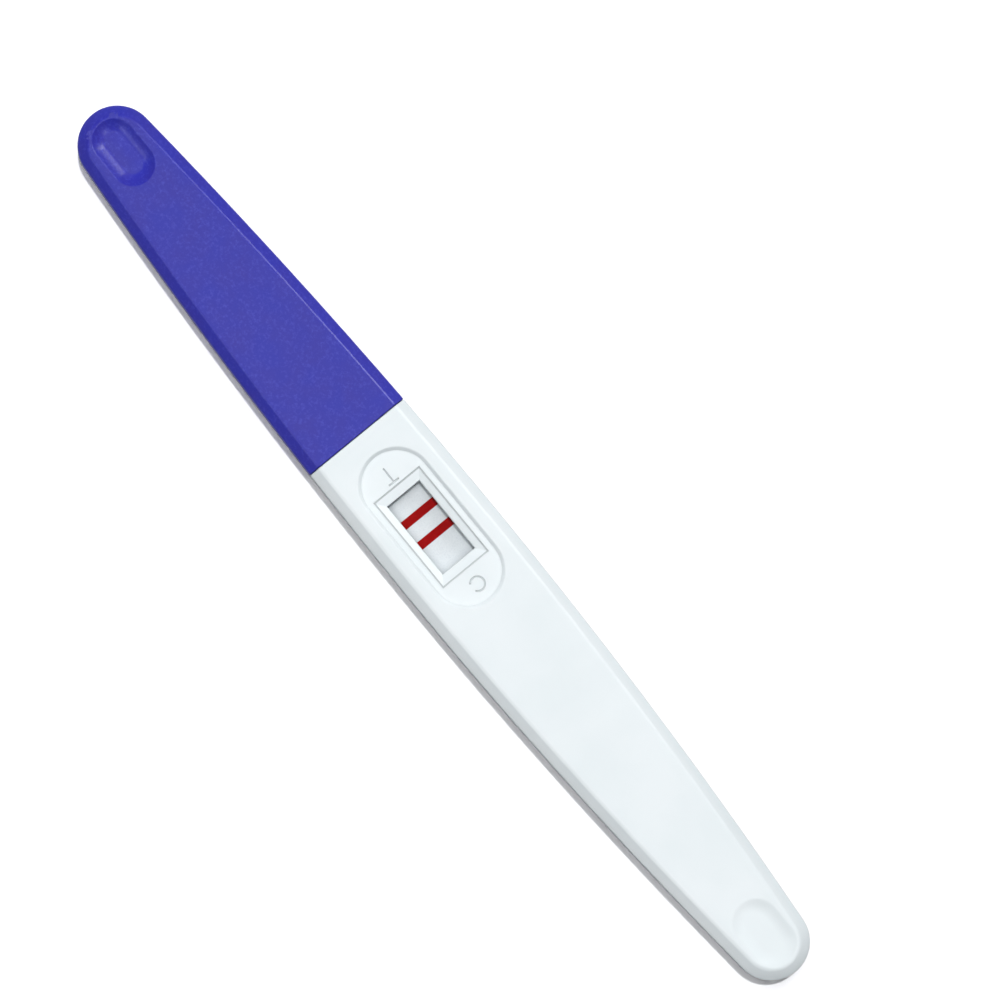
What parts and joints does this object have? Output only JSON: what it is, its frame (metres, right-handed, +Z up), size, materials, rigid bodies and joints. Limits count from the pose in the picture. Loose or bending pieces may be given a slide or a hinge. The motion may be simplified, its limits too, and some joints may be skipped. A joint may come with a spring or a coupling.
{
  "type": "pregnancy test stick",
  "caption": "Midstream test stick with a result window, an absorbent wick and a pull-off cap over the wick end.",
  "frame": {"origin": "middle of the flat underside, halfway along the capped stick", "axes": "+X along the stick towards the closed end of the cap, +Z up through the result window"},
  "size_m": [0.1422, 0.0162, 0.0074],
  "materials": {
    "case_white": "satin moulded polystyrene",
    "cap_violet": "finely grained moulded plastic",
    "wick_fibre": "bonded fibre",
    "card_plastic": "smooth card",
    "membrane_paper": "smooth porous membrane",
    "line_red": "dyed line",
    "conjugate_fibre": "glass fibre with dried reagent",
    "sink_paper": "absorbent cotton paper",
    "tape_film": "thin film"
  },
  "bodies": {
    "case": {"upper_shell": "case_white", "lower_shell": "case_white", "absorbent_wick": "wick_fibre", "backing_card": "card_plastic", "membrane": "membrane_paper", "test_line": "line_red", "control_line": "line_red", "conjugate_pad": "conjugate_fibre", "sink_pad": "sink_paper", "front_cover_tape": "tape_film", "rear_cover_tape": "tape_film"},
    "cap": {"cap": "cap_violet"}
  },
  "joints": [
    {"name": "cap_slide", "type": "slide", "parent": "case", "child": "cap", "axis": [1, 0, 0], "range_m": [0, 0.045]}
  ]
}
